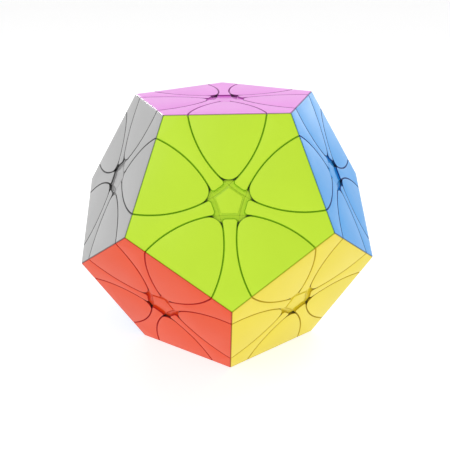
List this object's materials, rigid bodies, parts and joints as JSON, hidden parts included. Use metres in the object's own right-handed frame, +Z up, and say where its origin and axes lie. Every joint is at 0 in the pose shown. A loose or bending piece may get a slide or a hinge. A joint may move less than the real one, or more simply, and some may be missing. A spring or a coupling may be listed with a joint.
{
  "type": "dodecahedron twisty puzzle",
  "caption": "Dodecahedron twisty puzzle that turns about its corners; each face has petal-shaped edge pieces, slim waisted corner arms and a small sunken centre cap.",
  "frame": {"origin": "centre of the hollow core, where the diagonals through the corners meet", "axes": "+Z up through the middle of the top face, with the puzzle resting on the opposite face; -Y towards the viewer, so the tilted-up front face looks towards -Y; +X to the right"},
  "size_m": [0.0882, 0.0928, 0.075],
  "materials": {
    "plastic_pink": "satin moulded ABS, coloured through",
    "plastic_lime": "satin moulded ABS, coloured through",
    "plastic_sky_blue": "satin moulded ABS, coloured through",
    "plastic_orange": "satin moulded ABS, coloured through",
    "plastic_cream": "satin moulded ABS, coloured through",
    "plastic_grey": "satin moulded ABS, coloured through",
    "plastic_red": "satin moulded ABS, coloured through",
    "plastic_yellow": "satin moulded ABS, coloured through",
    "plastic_white": "satin moulded ABS, coloured through",
    "plastic_green": "satin moulded ABS, coloured through",
    "plastic_blue": "satin moulded ABS, coloured through",
    "plastic_purple": "satin moulded ABS, coloured through",
    "plastic_black": "moulded ABS",
    "steel": "zinc plated"
  },
  "bodies": {
    "root": {"core_upper": "plastic_black", "core_lower": "plastic_black", "axle_screw_top_2": "steel", "axle_screw_upper_1": "steel", "axle_screw_top_4": "steel", "axle_screw_upper_5": "steel", "axle_screw_lower_2": "steel", "axle_screw_lower_3": "steel", "axle_screw_bottom_1": "steel", "axle_screw_bottom_4": "steel", "corner_top_1": "plastic_pink", "corner_top_3": "plastic_pink", "corner_top_5": "plastic_pink", "corner_upper_2": "plastic_lime", "corner_upper_3": "plastic_sky_blue", "corner_upper_4": "plastic_orange", "corner_lower_1": "plastic_lime", "corner_lower_4": "plastic_cream", "corner_lower_5": "plastic_grey", "corner_bottom_2": "plastic_yellow", "corner_bottom_3": "plastic_white", "corner_bottom_5": "plastic_red", "edge_top_2": "plastic_pink", "edge_shoulder_3": "plastic_sky_blue", "edge_middle_3": "plastic_lime", "edge_middle_8": "plastic_cream", "edge_foot_5": "plastic_red", "edge_bottom_3": "plastic_white"},
    "layer_top_2": {"corner_top_2": "plastic_pink", "edge_top_1": "plastic_pink", "edge_top_3": "plastic_pink", "edge_shoulder_2": "plastic_lime"},
    "layer_upper_1": {"corner_upper_1": "plastic_lime", "edge_shoulder_1": "plastic_lime", "edge_middle_1": "plastic_lime", "edge_middle_2": "plastic_grey"},
    "layer_top_4": {"corner_top_4": "plastic_pink", "edge_top_4": "plastic_pink", "edge_top_5": "plastic_pink", "edge_shoulder_4": "plastic_orange"},
    "layer_upper_5": {"corner_upper_5": "plastic_cream", "edge_shoulder_5": "plastic_cream", "edge_middle_9": "plastic_cream", "edge_middle_10": "plastic_grey"},
    "layer_lower_2": {"corner_lower_2": "plastic_sky_blue", "edge_middle_4": "plastic_sky_blue", "edge_middle_5": "plastic_sky_blue", "edge_foot_2": "plastic_yellow"},
    "layer_lower_3": {"corner_lower_3": "plastic_orange", "edge_middle_6": "plastic_orange", "edge_middle_7": "plastic_orange", "edge_foot_3": "plastic_white"},
    "layer_bottom_1": {"corner_bottom_1": "plastic_red", "edge_foot_1": "plastic_red", "edge_bottom_1": "plastic_yellow", "edge_bottom_2": "plastic_red"},
    "layer_bottom_4": {"corner_bottom_4": "plastic_green", "edge_foot_4": "plastic_green", "edge_bottom_4": "plastic_green", "edge_bottom_5": "plastic_blue"}
  },
  "joints": [
    {"name": "turn_top_2", "type": "hinge", "parent": "root", "child": "layer_top_2", "pos_m": [0, 0, 0], "axis": [0.3568, -0.4911, 0.7947], "continuous": true},
    {"name": "turn_upper_1", "type": "hinge", "parent": "root", "child": "layer_upper_1", "pos_m": [0, 0, 0], "axis": [-0.5774, -0.7947, 0.1876], "continuous": true},
    {"name": "turn_top_4", "type": "hinge", "parent": "root", "child": "layer_top_4", "pos_m": [0, 0, 0], "axis": [0, 0.6071, 0.7947], "continuous": true},
    {"name": "turn_upper_5", "type": "hinge", "parent": "root", "child": "layer_upper_5", "pos_m": [0, 0, 0], "axis": [-0.9342, 0.3035, 0.1876], "continuous": true},
    {"name": "turn_lower_2", "type": "hinge", "parent": "root", "child": "layer_lower_2", "pos_m": [0, 0, 0], "axis": [0.9342, -0.3035, -0.1876], "continuous": true},
    {"name": "turn_lower_3", "type": "hinge", "parent": "root", "child": "layer_lower_3", "pos_m": [0, 0, 0], "axis": [0.5774, 0.7947, -0.1876], "continuous": true},
    {"name": "turn_bottom_1", "type": "hinge", "parent": "root", "child": "layer_bottom_1", "pos_m": [0, 0, 0], "axis": [0, -0.6071, -0.7947], "continuous": true},
    {"name": "turn_bottom_4", "type": "hinge", "parent": "root", "child": "layer_bottom_4", "pos_m": [0, 0, 0], "axis": [-0.3568, 0.4911, -0.7947], "continuous": true}
  ]
}
